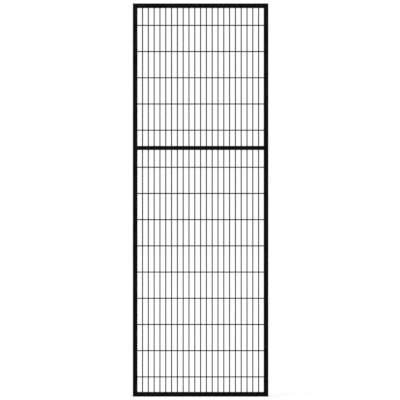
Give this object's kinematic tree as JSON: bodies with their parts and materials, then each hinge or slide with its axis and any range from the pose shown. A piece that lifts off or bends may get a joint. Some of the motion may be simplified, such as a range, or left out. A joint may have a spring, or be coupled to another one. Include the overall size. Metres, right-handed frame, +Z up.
{
  "type": "machine guard fence panel",
  "caption": "Tall rectangular guard fence panel: a mitred square tube frame with a cross rail, filled above and below by welded wire mesh.",
  "frame": {"origin": "on the left stile's flat outer face, at mid depth of the tube, level with the panel's lower edge", "axes": "+X across the panel from the left stile to the right one, +Y from the front, where the upright wires lie, to the back, +Z up the panel"},
  "size_m": [0.724, 0.025, 2.1],
  "materials": {
    "frame_tube": "black polyester powder coat on steel tube, satin with a fine orange peel",
    "mesh_wire": "black polyester powder coat on drawn steel wire, satin",
    "weld": "steel weld under the same black powder coat"
  },
  "bodies": {
    "root": {"left_stile": "frame_tube", "right_stile": "frame_tube", "top_rail": "frame_tube", "bottom_rail": "frame_tube", "cross_rail": "frame_tube", "upper_mesh": "mesh_wire", "lower_mesh": "mesh_wire", "top_left_corner_weld": "weld", "top_right_corner_weld": "weld", "bottom_left_corner_weld": "weld", "bottom_right_corner_weld": "weld", "cross_rail_left_welds": "weld", "cross_rail_right_welds": "weld", "upper_mesh_top_tacks": "weld", "upper_mesh_bottom_tacks": "weld", "upper_mesh_left_tacks": "weld", "upper_mesh_right_tacks": "weld", "lower_mesh_top_tacks": "weld", "lower_mesh_bottom_tacks": "weld", "lower_mesh_left_tacks": "weld", "lower_mesh_right_tacks": "weld"}
  },
  "joints": []
}
